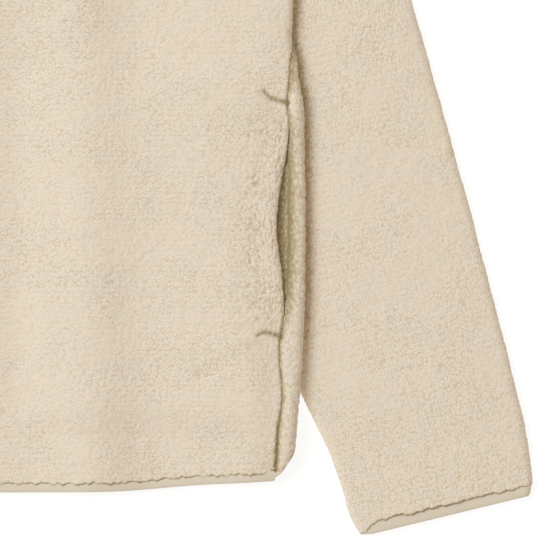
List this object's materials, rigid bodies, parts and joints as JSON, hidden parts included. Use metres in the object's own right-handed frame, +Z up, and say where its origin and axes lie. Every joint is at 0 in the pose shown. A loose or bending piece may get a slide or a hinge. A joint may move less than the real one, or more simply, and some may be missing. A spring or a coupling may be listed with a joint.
{
  "type": "sherpa jacket",
  "caption": "Zipped sherpa fleece jacket laid flat on its back, with stand collar, long sleeves over which its sides lie, side seam pockets and bound hem and cuffs.",
  "frame": {"origin": "middle of the jacket's length and width, on the surface it lies on", "axes": "+X to the wearer's left, +Y from the hem to the collar, +Z up from the surface through the back and then the front"},
  "size_m": [0.8896, 0.7281, 0.0277],
  "materials": {
    "fleece": "curly cream pile",
    "binding": "smooth stretch knit",
    "bag": "plain knit",
    "tape": "woven",
    "moulding": "satin",
    "metal": "satin"
  },
  "bodies": {
    "jacket": {"back": "fleece", "front_left": "fleece", "front_right": "fleece", "sleeve_left": "fleece", "sleeve_right": "fleece", "collar": "fleece", "hem_binding": "binding", "cuff_binding_left": "binding", "cuff_binding_right": "binding", "pocket_bag_left": "bag", "pocket_bag_right": "bag", "zip_tape_left": "tape", "zip_tape_right": "tape", "zip_chain": "moulding", "zip_box": "moulding", "zip_slider": "metal"},
    "pull": {"zip_pull": "metal"}
  },
  "joints": [
    {"name": "pull_hinge", "type": "hinge", "parent": "jacket", "child": "pull", "pos_m": [0, 0.28165, 0.0114], "axis": [-1, 0, 0], "range_deg": [0, 165]}
  ]
}
